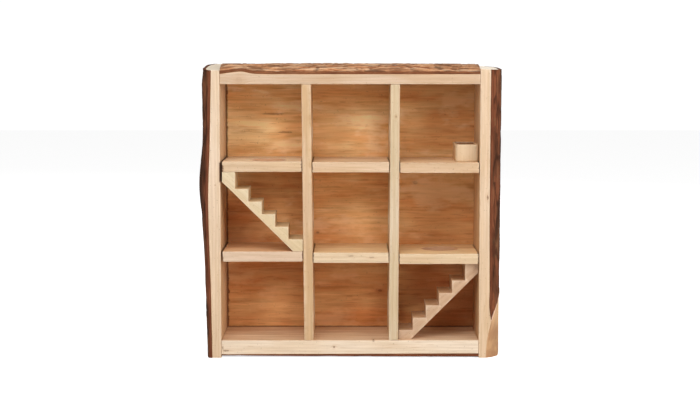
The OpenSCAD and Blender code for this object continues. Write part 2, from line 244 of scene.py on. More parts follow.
def woodMaterial(name, look):
    material, tree, shader = newMaterial(name, look["roughness"])
    place = objectPlace(tree)
    turn = look.get("turn") or grainTurns[look["grain"]]
    centred = vectorCalc(tree, "SUBTRACT", place, look["pith"])
    turned = addNode(tree, "ShaderNodeMapping", {"Vector": centred, "Rotation": turn}).outputs[0]
    knots = []
    push = 0.0
    for centre, size in look.get("knots", []):
        knot = addNode(tree, "ShaderNodeGroup", {
            "Vector": place, "Centre": centre, "Size": size, "Push": look.get("knotPush", 6 * mm),
        }, node_tree=knotGroup)
        knots.append(knot)
        push = plus(tree, push, knot.outputs["Push"])
    grain = addNode(tree, "ShaderNodeGroup", {
        "Vector": turned, "Ring Gap": look["ringGap"], "Wobble": look["wobble"], "Seed": look["seed"],
        "Push": push,
    }, node_tree=grainGroup)
    late, streak, tone, dash = (grain.outputs[key] for key in ("Late", "Streak", "Tone", "Dash"))
    colour = mixed(tree, tone, look["pale"], look["warm"])
    colour = mixed(tree, times(tree, late, look["lateShare"]), colour, look["late"])
    dim = ramp(tree, streak, 0.0, 1.0, 1.0 - look["streakShare"], 1.0)
    shade = joined(tree, dim, calc(tree, "POWER", dim, 1.2), calc(tree, "POWER", dim, 1.45))
    colour = mixed(tree, 1.0, colour, shade, "MULTIPLY")
    colour = mixed(tree, times(tree, dash, look["dashShare"]), colour, look["late"])
    speck = ramp(tree, noiseOf(tree, place, 430.0, 1.0), 0.68, 0.76, 0.0, look["speckShare"])
    colour = mixed(tree, speck, colour, look["knot"])
    for knot in knots:
        colour = mixed(tree, times(tree, knot.outputs["Halo"], 0.25), colour, look["late"])
        core = times(tree, knot.outputs["Core"], look.get("knotShare", 0.85))
        colour = mixed(tree, core, colour, look["knot"])
    # painted light and shade: faces turned to the front get one tint and all other faces another, standing in
    # for how the light falls on them and for the warmer shade inside the rooms
    facing = split(tree, addNode(tree, "ShaderNodeNewGeometry").outputs["Normal"])[1]
    front = ramp(tree, calc(tree, "ABSOLUTE", facing), 0.3, 0.7)
    lightAndShadeTint = mixed(tree, front, look["insideTint"], look["frontTint"])
    colour = mixed(tree, 1.0, colour, lightAndShadeTint, "MULTIPLY")
    lines = noiseOf(tree, scaled(tree, turned, (1.0, 1.0, 0.05)), 150.0, 3.0, 0.6)
    lines = times(tree, ramp(tree, lines, 0.5, 0.64), less(tree, 1.0, front))
    darker = mixed(tree, 1.0, colour, (0.78, 0.64, 0.52), "MULTIPLY")
    colour = mixed(tree, times(tree, lines, look["insideLines"]), colour, darker)
    wear = addNode(tree, "ShaderNodeGroup", {
        "Edge": attribute(tree, "edge"), "Vector": place}, node_tree=wearGroup)
    colour = mixed(tree, times(tree, wear.outputs["Rubbed"], 0.4), colour, look["rubbed"])
    colour = mixed(tree, times(tree, wear.outputs["Grime"], 0.12), colour, look["late"])
    # the extra colour step adds each piece's own marks, and with them painted light and shade
    if "finish" in look:
        colour = look["finish"](tree, place, colour)
    tree.links.new(colour, shader.inputs["Base Color"])
    rough = ramp(tree, streak, 0.0, 1.0, look["roughness"] + 0.08, look["roughness"] - 0.08)
    tree.links.new(rough, shader.inputs["Roughness"])
    height = plus(tree, times(tree, late, 0.5), times(tree, streak, 0.8))
    tree.links.new(bumpOf(tree, height, look["relief"]), shader.inputs["Normal"])
    return material


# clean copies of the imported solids, with rounded and slightly worn edges

def titled(node):
    return node.title().replace("_", "")


def newObject(name, data):
    made = bpy.data.objects.new(name, data)
    bpy.context.scene.collection.objects.link(made)
    return made


def weldedCopy(node):
    work = bmesh.new()
    work.from_mesh(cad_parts[node].data)
    bmesh.ops.remove_doubles(work, verts=work.verts, dist=2e-6)
    return work


def cleanCopy(node):
    work = weldedCopy(node)
    bmesh.ops.dissolve_limit(work, angle_limit=math.radians(0.4), verts=work.verts, edges=work.edges)
    return work


def sharpEdges(work):
    least = math.radians(30)
    return [edge for edge in work.edges if edge.is_manifold and edge.calc_face_angle(0) > least]


def cutIntoCells(work, cell):      # gives the flat faces enough points to dent their edges
    margin = 2.4 * mm
    corners = np.array([vertex.co for vertex in work.verts])
    for axis in range(3):
        low, high = corners[:, axis].min() + margin, corners[:, axis].max() - margin
        count = max(1, int((high - low) / cell))
        normal = [0.0, 0.0, 0.0]
        normal[axis] = 1.0
        for step in range(count + 1):
            point = [0.0, 0.0, 0.0]
            point[axis] = low + (high - low) * step / count
            everything = work.verts[:] + work.edges[:] + work.faces[:]
            bmesh.ops.bisect_plane(work, geom=everything, dist=1e-6, plane_co=point, plane_no=normal)


def roundedPiece(node, material, rounding):
    work = cleanCopy(node)
    for face in work.faces:
        face.smooth = abs(max(face.normal, key=abs)) < rounding.get("curvedBelow", 0.0)
    made = bmesh.ops.bevel(work, geom=sharpEdges(work), offset=rounding["radius"],
                           segments=rounding["steps"], profile=0.5, affect="EDGES", clamp_overlap=True)
    for face in made["faces"]:
        face.smooth = True
    cutIntoCells(work, rounding["cell"])
    edgeLayer = work.verts.layers.float.new("edge")
    work.normal_update()
    for vertex in work.verts:
        normals = [face.normal for face in vertex.link_faces]
        if any(normals[0].dot(other) < 0.98 for other in normals[1:]):      # it lies on an edge
            vertex[edgeLayer] = 1.0
            dent = noise.noise(vertex.co * 130 + Vector((7, 3, 5))) * 0.5 + 0.5
            vertex.co -= vertex.normal * dent * rounding["dent"]
    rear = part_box(node)[1][1] - rounding.get("rearIn", 0.0)
    for vertex in work.verts:
        vertex.co.y = min(vertex.co.y, rear)
    mesh = bpy.data.meshes.new(titled(node))
    work.to_mesh(mesh)
    work.free()
    mesh.materials.append(material)
    piece = newObject(titled(node), mesh)
    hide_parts(node)
    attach(piece, "food_bowl" if node == "food_bowl" else "cage")


boardEdges = {"radius": 0.7 * mm, "steps": 2, "cell": 9 * mm, "dent": 0.25 * mm}
paleWood = {
    "pale": (0.68, 0.505, 0.36), "warm": (0.635, 0.46, 0.285), "late": (0.46, 0.265, 0.135),
    "rubbed": (0.74, 0.59, 0.43), "knot": (0.15, 0.065, 0.03), "lateShare": 0.26, "streakShare": 0.12,
    "dashShare": 0.3, "ringGap": 3.6 * mm, "wobble": 5 * mm, "roughness": 0.62, "relief": 0.2 * mm,
    # the front tint and the tint for other faces are painted light and shade: other faces come out warmer, as
    # wood does in shade
    "frontTint": (1.0, 1.0, 1.0), "insideTint": (1.05, 0.93, 0.78), "insideLines": 0.5, "speckShare": 0.3,
}


def nodeCentre(node):
    low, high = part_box(node)
    return (Vector(low) + Vector(high)) / 2


# slabs sawn from the outside of a log: the growth rings follow the bark

logRadius = 135 * mm
shelfJoint = {"x": -0.1785, "z": 0.2555, "half": 13.5 * mm}      # where the upper left shelf meets the slab


def bareOutsideAndPaintedLight(tree, place, colour, way):      # the debarked face is darker, orange and fibrous
    normal = addNode(tree, "ShaderNodeNewGeometry").outputs["Normal"]
    bare = ramp(tree, vectorCalc(tree, "DOT_PRODUCT", normal, way), 0.25, 0.45)
    fibre = noiseOf(tree, scaled(tree, place, (1.0, 1.0, 0.12)), 260.0, 4.0, 0.65)
    blotch = noiseOf(tree, place, 70.0, 3.0, 0.6)
    across, up = split(tree, place)[0], split(tree, place)[2]
    skin = mixed(tree, ramp(tree, blotch, 0.38, 0.62), (0.52, 0.295, 0.14), (0.42, 0.215, 0.10))
    skin = mixed(tree, ramp(tree, up, 0.034, 0.06), skin, (0.66, 0.40, 0.215))
    flecks = times(tree, ramp(tree, fibre, 0.5, 0.68), ramp(tree, blotch, 0.62, 0.42))
    flecks = times(tree, flecks, ramp(tree, up, 0.07, 0.03, 0.1, 0.75))
    skin = mixed(tree, flecks, skin, (0.22, 0.095, 0.045))
    if way == (-1, 0, 0):      # painted shade: a dark gap between the left slab and the upper left shelf
        half = shelfJoint["half"]
        inner = ramp(tree, across, shelfJoint["x"], shelfJoint["x"] + 1.5 * mm)
        ragged = times(tree, noiseOf(tree, place, 300.0, 2.0), 2.5 * mm)
        away = calc(tree, "ABSOLUTE", less(tree, up, shelfJoint["z"]))
        gapShade = ramp(tree, plus(tree, away, ragged), half, half + 2.5 * mm, 0.92, 0.0)
        colour = mixed(tree, times(tree, gapShade, inner), colour, (0.10, 0.032, 0.010))
    if not way[2]:      # painted light: paler towards the top, as the light falls off lower down, and nearly white on the upper end faces, a painted highlight from the light above
        tone = mixed(tree, ramp(tree, up, 0.05, 0.38), (0.985, 0.945, 0.89), (1.055, 1.08, 1.14))
        colour = mixed(tree, 1.0, colour, tone, "MULTIPLY")
        upward = ramp(tree, split(tree, normal)[2], 0.5, 0.9)
        colour = mixed(tree, times(tree, upward, 0.8), colour, (0.93, 0.82, 0.66))
    return mixed(tree, bare, colour, skin)


def makeSlabs():
    slabs = {
        "left_side_slab": {
            "outward": (-1, 0, 0), "grain": "z", "seed": 1.3,
            "tones": {"pale": (0.70, 0.545, 0.40), "warm": (0.65, 0.49, 0.33)},
            "knots": [((-0.183, -0.055, 0.238), (0.8 * mm, 8 * mm, 0.9 * mm))]},
        "right_side_slab": {
            "outward": (1, 0, 0), "grain": "z", "seed": 4.1,
            "tones": {"pale": (0.68, 0.52, 0.37), "warm": (0.63, 0.455, 0.295)},
            "knots": [((0.187, -0.056, 0.221), (1.6 * mm, 9 * mm, 3.4 * mm)),
                      ((0.203, -0.030, 0.030), (9 * mm, 8 * mm, 5 * mm))]},
        "top_slab": {
            "outward": (0, 0, 1), "grain": "x", "seed": 2.2, "knotShare": 0.12,
            "tones": {"pale": (0.59, 0.435, 0.31), "warm": (0.56, 0.39, 0.255)},
            "knots": [((-0.150, -0.058, 0.380), (5 * mm, 9 * mm, 5 * mm))]},
        "bottom_slab": {
            "outward": (0, 0, -1), "grain": "x", "seed": 6.7,
            "tones": {"pale": (0.73, 0.60, 0.46), "warm": (0.70, 0.55, 0.395), "insideLines": 0.9,
                      # painted light and shade: its faces other than the front are tinted warmer, its front
                      # paler
                      "insideTint": (1.14, 1.0, 0.88), "frontTint": (1.04, 1.06, 1.09)},
            "knots": [((-0.022, -0.058, 0.0155), (1.6 * mm, 9 * mm, 1.5 * mm)),
                      ((-0.170, -0.058, 0.010), (4.5 * mm, 9 * mm, 1.0 * mm)),
                      ((-0.1745, -0.058, 0.014), (0.9 * mm, 9 * mm, 2.4 * mm)),
                      ((0.0322, -0.058, 0.0238), (1.5 * mm, 9 * mm, 1.3 * mm))]},
    }
    for node, own in slabs.items():
        low, high = (Vector(corner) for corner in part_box(node))
        outward = Vector(own["outward"])
        crown = max(low.dot(outward), high.dot(outward))
        look = dict(paleWood, **own["tones"])
        look.update(grain=own["grain"], seed=own["seed"], knots=own["knots"], knotPush=3 * mm,
                    knotShare=own.get("knotShare", 0.85), pith=tuple(outward * (crown - logRadius)),
                    wobble=6 * mm, finish=lambda tree, place, colour, way=own["outward"]:
                    bareOutsideAndPaintedLight(tree, place, colour, way))
        rounding = dict(boardEdges, cell=7 * mm, curvedBelow=0.9995)
        roundedPiece(node, woodMaterial(node + "Wood", look), rounding)
    print("slabs made")


# bark: a shell grown over each slab, flaked and cracked by one tree

def barkGrid(node, along, outward):
    points = np.array([vertex.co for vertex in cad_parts[node].data.vertices])
    points = np.unique(np.round(points, 6), axis=0)
    columns = [points[np.abs(points[:, 1] - depth) < 1e-5] for depth in np.unique(np.round(points[:, 1], 5))]
    outer, inner = [], []
    for column in columns:
        column = column[np.argsort(column @ along)]
        pairs = column.reshape(-1, 2, 3)
        high = (pairs[:, 0] @ outward > pairs[:, 1] @ outward)[:, None]
        outer.append(np.where(high, pairs[:, 0], pairs[:, 1]))
        inner.append(np.where(high, pairs[:, 1], pairs[:, 0]))
    return np.array(outer).transpose(1, 0, 2), np.array(inner).transpose(1, 0, 2)


def resampled(grid, count):
    rows = len(grid)
    where = np.linspace(0, rows - 1, count)
    start = np.minimum(where.astype(int), rows - 2)
    u = (where - start)[:, None, None]
    before, first, second, after = (grid[np.clip(start + k, 0, rows - 1)] for k in (-1, 0, 1, 2))
    return 0.5 * (2 * first + (second - before) * u
                  + (2 * before - 5 * first + 4 * second - after) * u ** 2
                  + (3 * first - before - 3 * second + after) * u ** 3)


def storeOnPoints(mesh, columns):
    for label, values in columns.items():
        values = np.asarray(values, dtype=np.float32)
        kind, key = ("FLOAT_VECTOR", "vector") if values.ndim == 2 else ("FLOAT", "value")
        mesh.attributes.new(label, kind, "POINT").data.foreach_set(key, values.ravel())


def shellBetween(name, outer, inner, rimSteps, along, outward):
    rows, columns = outer.shape[:2]
    grids = rows * columns
    ids = np.arange(grids).reshape(rows, columns)
    loop = np.concatenate([ids[0, :-1], ids[:-1, -1], ids[-1, :0:-1], ids[:0:-1, 0]])
    flatOuter, flatInner = outer.reshape(-1, 3), inner.reshape(-1, 3)
    thick = flatInner[loop] - flatOuter[loop]
    rims = [flatOuter[loop] + thick * step / rimSteps for step in range(1, rimSteps)]
    points = np.concatenate([flatOuter, flatInner] + rims)
    a, b, c, d = ids[:-1, :-1], ids[1:, :-1], ids[1:, 1:], ids[:-1, 1:]
    top = np.stack([a, b, c, d], -1).reshape(-1, 4)
    faces = [top, top[:, ::-1] + grids]
    between = [2 * grids + step * len(loop) + np.arange(len(loop)) for step in range(rimSteps - 1)]
    rings = [loop] + between + [loop + grids]
    for upper, lower in zip(rings[:-1], rings[1:]):
        faces.append(np.stack([upper, np.roll(upper, -1), np.roll(lower, -1), lower], -1))
    faces = np.concatenate(faces)
    middle = points[top[len(top) // 2]]
    if np.cross(middle[1] - middle[0], middle[2] - middle[1]) @ outward < 0:
        faces = faces[:, ::-1]
    mesh = bpy.data.meshes.new(name)
    mesh.from_pydata(points.tolist(), [], faces.tolist())
    across = points[:, 1] / max(abs(points[:, 1]).max(), 1e-6)
    coords = np.stack([points @ along, points[:, 1], points @ outward], -1)
    gap = np.linalg.norm(flatOuter - flatInner, axis=1)
    skin = np.concatenate([np.ones(grids), np.zeros(grids)]
                          + [np.full(len(loop), 1 - step / rimSteps) for step in range(1, rimSteps)])
    rim = np.zeros(grids)
    rim[loop] = 1
    rim = np.concatenate([rim, rim] + [np.ones(len(loop))] * (rimSteps - 1))
    depth = np.concatenate([gap, gap] + [gap[loop]] * (rimSteps - 1))
    normals = np.cross(np.gradient(outer, axis=0), np.gradient(outer, axis=1)).reshape(-1, 3)
    normals /= np.linalg.norm(normals, axis=1)[:, None]
    normals *= np.sign(normals @ outward)[:, None]
    up = np.concatenate([normals, normals] + [normals[loop]] * (rimSteps - 1))
    storeOnPoints(mesh, {"barkCoord": coords, "up": up, "skin": skin, "rim": rim,
                         "crown": 1 - across ** 2, "barkDepth": depth})
    mesh.shade_smooth()
    return newObject(name, mesh)


def named(tree, name, kind="FLOAT"):
    return addNode(tree, "GeometryNodeInputNamedAttribute", {"Name": name}, data_type=kind).outputs[0]


def finishedTree(tree, last, given, out):
    real = addNode(tree, "GeometryNodeRealizeInstances", {"Geometry": last.outputs[0]})
    done = addNode(tree, "GeometryNodeSetMaterial", {
        "Geometry": real.outputs[0], "Material": given["Material"]})
    tree.links.new(done.outputs[0], out["Geometry"])
    return tree


def makeBarkTree():
    tree, given, out = newTree("barkFlakes", "GeometryNodeTree", [
        ("Geometry", "NodeSocketGeometry", None),
        ("Plate Length", "NodeSocketFloat", 50 * mm), ("Plate Width", "NodeSocketFloat", 14 * mm),
        ("Flake", "NodeSocketFloat", 1.6 * mm),      # how deep the flaked layers go
        ("Crack", "NodeSocketFloat", 1.2 * mm),      # how deep the cracks go
        ("Fibre", "NodeSocketFloat", 0.3 * mm),
        ("Seed", "NodeSocketFloat", 0.0), ("Material", "NodeSocketMaterial", None),
    ], [("Geometry", "NodeSocketGeometry")])
    coord = split(tree, named(tree, "barkCoord", "FLOAT_VECTOR"))
    plates = joined(tree, calc(tree, "DIVIDE", coord[0], given["Plate Length"]),
                    calc(tree, "DIVIDE", coord[1], given["Plate Width"]), given["Seed"])
    warp = vectorCalc(tree, "SUBTRACT", noiseOf(tree, plates, 0.9, 3.0, 0.6, "Color"), (0.5, 0.5, 0.5))
    plates = vectorCalc(tree, "ADD", plates, scaled(tree, warp, (1.1, 1.1, 0.0)))
    layers = 4.0
    level = times(tree, ramp(tree, noiseOf(tree, plates, 0.8, 4.0, 0.55), 0.28, 0.72), layers)
    step = ramp(tree, calc(tree, "FRACT", level), 0.0, 0.22)
    level = calc(tree, "DIVIDE", plus(tree, calc(tree, "FLOOR", level), step), layers)
    cells = addNode(tree, "ShaderNodeTexVoronoi", {
        "Vector": plates, "Scale": 0.75}, feature="DISTANCE_TO_EDGE")
    crack = ramp(tree, cells.outputs["Distance"], 0.015, 0.12, 1.0, 0.0)
    threads = joined(tree, times(tree, coord[0], 0.07), coord[1], given["Seed"])
    thread = noiseOf(tree, threads, 420.0, 3.0, 0.6)
    depth = times(tree, less(tree, 1.0, level), given["Flake"])
    depth = plus(tree, depth, times(tree, crack, given["Crack"]))
    depth = plus(tree, depth, times(tree, thread, given["Fibre"]))
    depth = calc(tree, "MINIMUM", depth, times(tree, named(tree, "barkDepth"), 0.82))
    depth = times(tree, depth, named(tree, "skin"))
    depth = times(tree, depth, ramp(tree, named(tree, "rim"), 0.0, 1.0, 1.0, 0.35))
    offset = lengthened(tree, named(tree, "up", "FLOAT_VECTOR"), times(tree, depth, -1.0))
    stored = addNode(tree, "GeometryNodeSetPosition", {"Geometry": given["Geometry"], "Offset": offset})
    for label, value in (("layer", level), ("crack", crack)):
        stored = addNode(tree, "GeometryNodeStoreNamedAttribute", {
            "Geometry": stored.outputs[0], "Name": label, "Value": value}, data_type="FLOAT", domain="POINT")
    return finishedTree(tree, stored, given, out)


def grown(piece, tree, values):
    modifier = piece.modifiers.new(tree.name, "NODES")
    modifier.node_group = tree
    for item in tree.interface.items_tree:
        if item.item_type == "SOCKET" and item.in_out == "INPUT" and item.name in values:
            modifier[item.identifier] = values[item.name]
    evaluated = piece.evaluated_get(bpy.context.evaluated_depsgraph_get())
    mesh = bpy.data.meshes.new_from_object(evaluated)
    piece.modifiers.remove(modifier)
    piece.data = mesh


def barkMaterial(name, look):
    material, tree, shader = newMaterial(name, 0.9, 0.08)
    coord = attribute(tree, "barkCoord", "Vector")
    layer = attribute(tree, "layer")
    long = scaled(tree, coord, (look["stretch"], 1.0, 1.0))
    streaks = noiseOf(tree, long, 150.0, 4.0, 0.6)
    threads = noiseOf(tree, scaled(tree, coord, (0.06, 1.0, 1.0)), 620.0, 3.0, 0.6)
    patches = noiseOf(tree, scaled(tree, coord, (0.35, 1.0, 1.0)), 60.0, 3.0, 0.55)
    shift = times(tree, less(tree, patches, 0.5), 0.8)
    layer = plus(tree, layer, shift)
    colour = mixed(tree, ramp(tree, layer, 0.25, 0.5), look["inner"], look["fresh"])
    colour = mixed(tree, ramp(tree, layer, 0.55, 0.8), colour, look["weathered"])
    pale = times(tree, ramp(tree, streaks, 0.5, 0.62), ramp(tree, layer, 0.2, 0.5))
    colour = mixed(tree, times(tree, pale, look["paleShare"]), colour, look["pale"])
    crown = ramp(tree, attribute(tree, "crown"), look["greyFrom"], look["greyFrom"] + 0.3)
    grey = times(tree, crown, ramp(tree, patches, 0.35, 0.6))
    colour = mixed(tree, times(tree, grey, look["greyShare"]), colour, look["grey"])
    moss = ramp(tree, noiseOf(tree, coord, 45.0, 4.0, 0.65), 0.56, 0.68)
    colour = mixed(tree, times(tree, moss, look["mossShare"]), colour, look["moss"])
    # dark streaks and threads, and painted shade in the cracks
    lines = calc(tree, "MAXIMUM", attribute(tree, "crack"), ramp(tree, streaks, 0.44, 0.36))
    lines = calc(tree, "MAXIMUM", lines, times(tree, ramp(tree, threads, 0.42, 0.32), 0.5))
    colour = mixed(tree, times(tree, lines, look["lineShare"]), colour, look["deep"])
    rim = ramp(tree, attribute(tree, "rim"), 0.75, 1.0)
    cut = mixed(tree, ramp(tree, threads, 0.35, 0.65), look["cut"], look["cutDark"])
    colour = mixed(tree, times(tree, rim, 0.9), colour, cut)
    thin = ramp(tree, attribute(tree, "barkDepth"), 0.9 * mm, 1.5 * mm, 1.0, 0.0)
    colour = mixed(tree, thin, colour, look["cambium"])
    tree.links.new(colour, shader.inputs["Base Color"])
    height = plus(tree, streaks, times(tree, noiseOf(tree, coord, 900.0, 3.0), 0.5))
    tree.links.new(bumpOf(tree, height, 1.0 * mm, 0.9), shader.inputs["Normal"])
    return material


sideBark = {
    "weathered": (0.125, 0.045, 0.022), "fresh": (0.20, 0.065, 0.030), "inner": (0.24, 0.080, 0.037),
    "pale": (0.30, 0.135, 0.065), "grey": (0.062, 0.050, 0.036), "moss": (0.15, 0.115, 0.055),
    "deep": (0.035, 0.014, 0.008), "cut": (0.19, 0.062, 0.030), "cutDark": (0.115, 0.035, 0.017),
    "cambium": (0.74, 0.48, 0.33), "stretch": 0.1, "greyFrom": 0.3, "greyShare": 0.7, "paleShare": 0.4,
    "mossShare": 0.35, "lineShare": 0.68,
}
# paler than the side bark: partly its own flaked colour, partly painted light on a top that faces the light
# from above
topBark = {
    "weathered": (0.36, 0.17, 0.085), "fresh": (0.62, 0.30, 0.145), "inner": (0.36, 0.13, 0.055),
    "pale": (0.80, 0.52, 0.32), "grey": (0.20, 0.14, 0.09), "moss": (0.3, 0.2, 0.1),
    "deep": (0.05, 0.018, 0.009), "cut": (0.22, 0.078, 0.033), "cutDark": (0.12, 0.04, 0.018),
    "cambium": (0.74, 0.48, 0.33), "stretch": 0.14, "greyFrom": 0.85, "greyShare": 0.5, "paleShare": 0.75,
    "mossShare": 0.0, "lineShare": 0.6,
}


def makeBark():
    fine = 1.25 * mm
    tree = makeBarkTree()
    rimSteps = 3
    sideLook, topLook = barkMaterial("sideBark", sideBark), barkMaterial("topBark", topBark)
    sizeNames = ("Plate Length", "Plate Width", "Flake", "Crack")
    barks = {      # sizes are in mm
        "left_side_bark": {
            "along": (0, 0, 1), "outward": (-1, 0, 0), "look": sideLook, "sizes": (60, 12, 1.1, 0.9),
            "seed": 3.0},
        "right_side_bark": {
            "along": (0, 0, 1), "outward": (1, 0, 0), "look": sideLook, "sizes": (50, 11, 1.1, 1.0),
            "seed": 11.0},
        "top_bark": {
            "along": (1, 0, 0), "outward": (0, 0, 1), "look": topLook, "sizes": (30, 6, 2.0, 1.0),
            "seed": 5.0},
        "bottom_bark": {
            "along": (1, 0, 0), "outward": (0, 0, -1), "look": sideLook, "sizes": (60, 14, 0.8, 0.6),
            "seed": 8.0},
    }
    pieces = {}
    for node, own in barks.items():
        along, outward = np.array(own["along"], float), np.array(own["outward"], float)
        outer, inner = barkGrid(node, along, outward)
        highest = (outer @ outward).max()
        rows = int(np.ptp(outer @ along) / fine)
        columns = int(np.ptp(outer[..., 1]) / fine)
        outer, inner = (resampled(resampled(grid, rows).transpose(1, 0, 2), columns).transpose(1, 0, 2)
                        for grid in (outer, inner))
        over = np.maximum(outer @ outward - highest, 0.0)      # the smooth curve may run past its points
        outer -= over[..., None] * outward
        piece = shellBetween(titled(node), outer, inner, rimSteps, along, outward)
        sizes = {name: size * mm for name, size in zip(sizeNames, own["sizes"])}
        grown(piece, tree, dict(sizes, Seed=own["seed"], Material=own["look"]))
        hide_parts(node)
        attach(piece, "cage")
        pieces[node] = piece
    print("bark made")
    return pieces


# boards

def boardLook(node, grain, **changes):
    centre = nodeCentre(node)
    seed = sum(ord(letter) for letter in node) % 97 / 7
    aside = {"x": (0.0, 0.02, -0.055), "z": (0.055, 0.02, 0.0)}[grain]
    look = dict(paleWood, grain=grain, seed=seed, pith=tuple(centre + Vector(aside)))
    look.update(changes)
    return look


holeRadius = 25 * mm


def shelfEndShadeAndHoleWall(tree, place, colour, node, hole):
    low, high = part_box(node)
    middle, half = (low[0] + high[0]) / 2, (high[0] - low[0]) / 2
    # painted shade: a ragged dark band at each end where the shelf meets a slab or divider, wider at the
    # upper left shelf
    fromEnd = less(tree, half, calc(tree, "ABSOLUTE", less(tree, split(tree, place)[0], middle)))
    reach = 2.2 * mm if node == "upper_left_shelf" else 1.2 * mm
    ragged = times(tree, ramp(tree, noiseOf(tree, place, 240.0, 3.0, 0.6), 0.4, 0.65), reach)
    jointShade = ramp(tree, less(tree, fromEnd, ragged), -0.1 * mm, 0.8 * mm, 0.85, 0.0)
    if hole:      # the drilled wall is end grain, and is also painted darker as shade inside the hole
        away = vectorCalc(tree, "DISTANCE", scaled(tree, place, (1.0, 1.0, 0.0)), (*hole, 0.0))
        wall = ramp(tree, away, holeRadius + 0.3 * mm, holeRadius + 1.0 * mm, 0.75, 0.0)
        colour = mixed(tree, wall, colour, (0.60, 0.31, 0.17))
    return mixed(tree, jointShade, colour, (0.13, 0.05, 0.022))


def makeBoards():
    tones = {      # each board is slightly different, pinker or yellower; the shelves' colours also carry painted light and shade
        "left_divider": {"pale": (0.61, 0.43, 0.275), "warm": (0.57, 0.375, 0.205)},
        "right_divider": {"pale": (0.63, 0.505, 0.36), "warm": (0.58, 0.455, 0.295), "knotShare": 0.6,
                          "knots": [((0.0625, -0.060, 0.331), (1.2 * mm, 9 * mm, 1.7 * mm))]},
        # painted light and shade on the shelves: each top is lighter or darker by how much light its room
        # gets, the upper left lightest and the lower left darkest and most orange as shade, and each front
        # tint brings its front edge back against its top
        "upper_left_shelf": {
            "pale": (0.97, 0.79, 0.57), "warm": (0.95, 0.74, 0.50), "frontTint": (0.66, 0.60, 0.555)},
        "upper_middle_shelf": {
            "pale": (0.93, 0.69, 0.46), "warm": (0.87, 0.61, 0.37), "frontTint": (0.71, 0.70, 0.72)},
        "upper_right_shelf": {
            "pale": (0.92, 0.66, 0.41), "warm": (0.87, 0.59, 0.34), "frontTint": (0.68, 0.67, 0.70)},
        "lower_left_shelf": {
            "pale": (0.91, 0.57, 0.32), "warm": (0.85, 0.49, 0.26), "frontTint": (0.77, 0.98, 1.33)},
        "lower_middle_shelf": {
            "pale": (0.95, 0.70, 0.40), "warm": (0.90, 0.63, 0.34), "frontTint": (0.73, 0.78, 0.94),
            "knotShare": 0.5, "knotPush": 1 * mm,
            "knots": [((0.0014, -0.060, 0.141), (4.0 * mm, 9 * mm, 1.0 * mm)),
                      ((0.0300, -0.060, 0.139), (3.5 * mm, 9 * mm, 0.9 * mm))]},
        "lower_right_shelf": {
            "pale": (0.95, 0.70, 0.40), "warm": (0.88, 0.60, 0.32), "frontTint": (0.715, 0.753, 0.88)},
    }
    holes = {"upper_left_shelf": (-0.1127, -0.024), "lower_right_shelf": (0.1253, 0.0)}
    for node, own in tones.items():
        grain = "x" if "shelf" in node else "z"
        look = boardLook(node, grain, **own)
        if "shelf" in node:
            look.update(late=(0.56, 0.31, 0.15), insideTint=(1.0, 1.0, 1.0),
                        finish=lambda tree, place, colour, node=node:
                        shelfEndShadeAndHoleWall(tree, place, colour, node, holes.get(node)))
        roundedPiece(node, woodMaterial(node + "Wood", look), boardEdges)
    print("boards made")


# the back panel: broad, wavy, orange-brown figure

panelFront = 0.052
panelLightAndShadeSpots = [      # soft patches of painted shade and painted light: where (X, Z), how wide, how high, their tint
    ((-0.148, 0.178), 0.050, 0.045, (0.84, 0.66, 0.56)),
    ((-0.100, 0.235), 0.060, 0.022, (0.90, 0.76, 0.66)),
    ((0.150, 0.070), 0.055, 0.050, (0.76, 0.62, 0.55)),
    ((0.120, 0.362), 0.080, 0.022, (0.84, 0.72, 0.62)),
    ((-0.130, 0.105), 0.070, 0.022, (0.84, 0.78, 0.72)),
    ((0.120, 0.195), 0.065, 0.060, (0.92, 0.89, 0.86)),
    ((0.020, 0.305), 0.035, 0.035, (1.06, 1.10, 1.14)),
    ((-0.120, 0.340), 0.060, 0.045, (1.06, 1.10, 1.14)),
]


